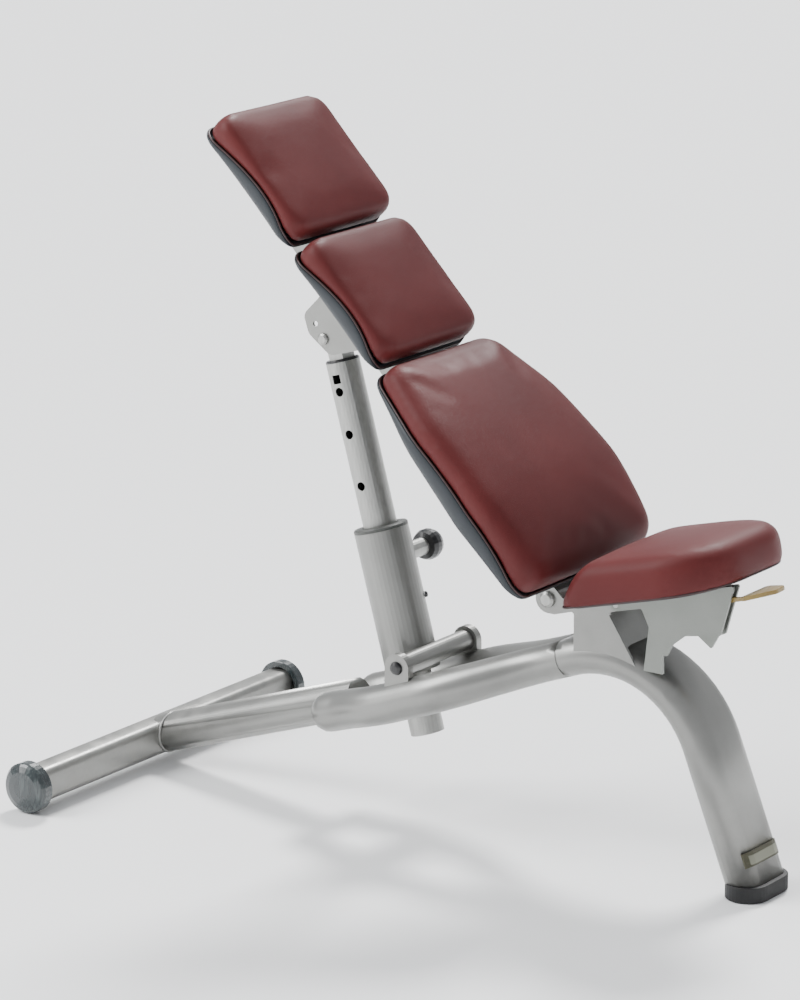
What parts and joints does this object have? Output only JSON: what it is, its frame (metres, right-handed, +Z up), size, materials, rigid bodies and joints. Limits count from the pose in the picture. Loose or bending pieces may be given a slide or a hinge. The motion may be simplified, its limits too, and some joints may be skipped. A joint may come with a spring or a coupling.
{
  "type": "adjustable weight bench",
  "caption": "Padded weight bench with a tilting seat and a backrest held at an angle by a pinned telescopic post, on a three-legged tube frame.",
  "frame": {"origin": "middle of the bench's box, on the floor", "axes": "+X towards the seat's end, +Y towards the pull pin's side, +Z up"},
  "size_m": [1.1799, 0.692, 1.0747],
  "materials": {
    "silver_paint": "satin silver paint",
    "bracket_paint": "satin grey paint, a little green",
    "bright_steel": "satin plated steel",
    "black_plastic": "matte black",
    "cap_plastic": "glossy dark grey, a little blue",
    "black_rubber": "matte black rubber",
    "maroon_cover": "soft satin synthetic leather",
    "navy_shell": "matte moulded plastic, near black with a little blue",
    "badge_pewter": "blank pewter-coloured plate",
    "ochre_plastic": "smooth ochre yellow"
  },
  "bodies": {
    "frame": {"rear_crossbar": "silver_paint", "crossbar_cap_near": "cap_plastic", "crossbar_cap_far": "cap_plastic", "rear_spine": "silver_paint", "rail_near": "silver_paint", "rail_far": "silver_paint", "front_leg": "silver_paint", "front_foot": "black_rubber", "leg_badge": "badge_pewter", "pivot_lug_near": "silver_paint", "pivot_lug_far": "silver_paint", "pivot_cap_near": "black_plastic", "pivot_cap_far": "black_plastic", "post_pivot_pin": "bright_steel", "gusset_near": "silver_paint", "gusset_far": "silver_paint", "gusset_front": "silver_paint", "hinge_cap_near": "bright_steel", "hinge_cap_far": "bright_steel", "backrest_hinge_pin": "bright_steel", "seat_hinge_pin": "bright_steel", "seat_quadrant": "bracket_paint"},
    "backrest": {"hinge_barrel": "silver_paint", "backrest_tube": "silver_paint", "backrest_tube_cap": "black_plastic", "clevis_cheek_near": "silver_paint", "clevis_cheek_far": "silver_paint", "clevis_bolt_near": "bright_steel", "clevis_bolt_far": "bright_steel", "head_pad_bracket": "silver_paint", "mid_pad_bracket": "silver_paint", "lower_pad_bracket": "silver_paint", "head_shell": "navy_shell", "mid_shell": "navy_shell", "lower_shell": "navy_shell", "head_pad": "maroon_cover", "mid_pad": "maroon_cover", "lower_pad": "maroon_cover"},
    "post_sleeve": {"post_sleeve": "silver_paint", "pivot_barrel": "silver_paint", "sleeve_top_bush": "black_plastic", "sleeve_lower_bush": "black_plastic", "plunger_housing": "bright_steel", "plunger_cap": "bright_steel", "plunger_spring": "bright_steel", "sleeve_screw": "black_plastic"},
    "inner_post": {"inner_tube": "bright_steel", "post_plug": "black_plastic", "post_tongue": "bright_steel"},
    "plunger": {"plunger_pin": "bright_steel", "plunger_knob": "black_plastic"},
    "seat": {"seat_bracket": "bracket_paint", "seat_bracket_inner": "bracket_paint", "seat_arm": "bracket_paint", "lever_pin": "bright_steel", "seat_board": "navy_shell", "seat_pad": "maroon_cover"},
    "seat_lever": {"seat_lever": "ochre_plastic"}
  },
  "joints": [
    {"name": "backrest_hinge", "type": "hinge", "parent": "frame", "child": "backrest", "pos_m": [0.2181, 0, 0.402], "axis": [0, 1, 0], "range_deg": [-46.5, 15.5]},
    {"name": "post_swing", "type": "hinge", "parent": "frame", "child": "post_sleeve", "pos_m": [-0.0219, 0, 0.265], "axis": [0, 1, 0], "range_deg": [-47.5, 15.9]},
    {"name": "post_slide", "type": "slide", "parent": "post_sleeve", "child": "inner_post", "axis": [-0.2706, 0, 0.9627], "range_m": [-0.2085, 0.07]},
    {"name": "plunger_pull", "type": "slide", "parent": "post_sleeve", "child": "plunger", "axis": [0, 1, 0], "range_m": [0, 0.008], "stiffness_N_per_m": 400, "springref_m": -0.01, "deforming": ["plunger_spring"]},
    {"name": "seat_tilt", "type": "hinge", "parent": "frame", "child": "seat", "pos_m": [0.3431, 0, 0.4165], "axis": [0, 1, 0], "range_deg": [0, 14.4]},
    {"name": "seat_release", "type": "hinge", "parent": "seat", "child": "seat_lever", "pos_m": [0.44145, -0.05625, 0.43556], "axis": [0, -1, 0], "range_deg": [0, 8], "stiffness_Nm_per_rad": 2, "springref_deg": -8.59}
  ],
  "couplings": [
    {"joint": "post_swing", "follows": "backrest_hinge", "ratio": 1.02},
    {"joint": "post_slide", "follows": "backrest_hinge", "m_per_rad": 0.256}
  ]
}
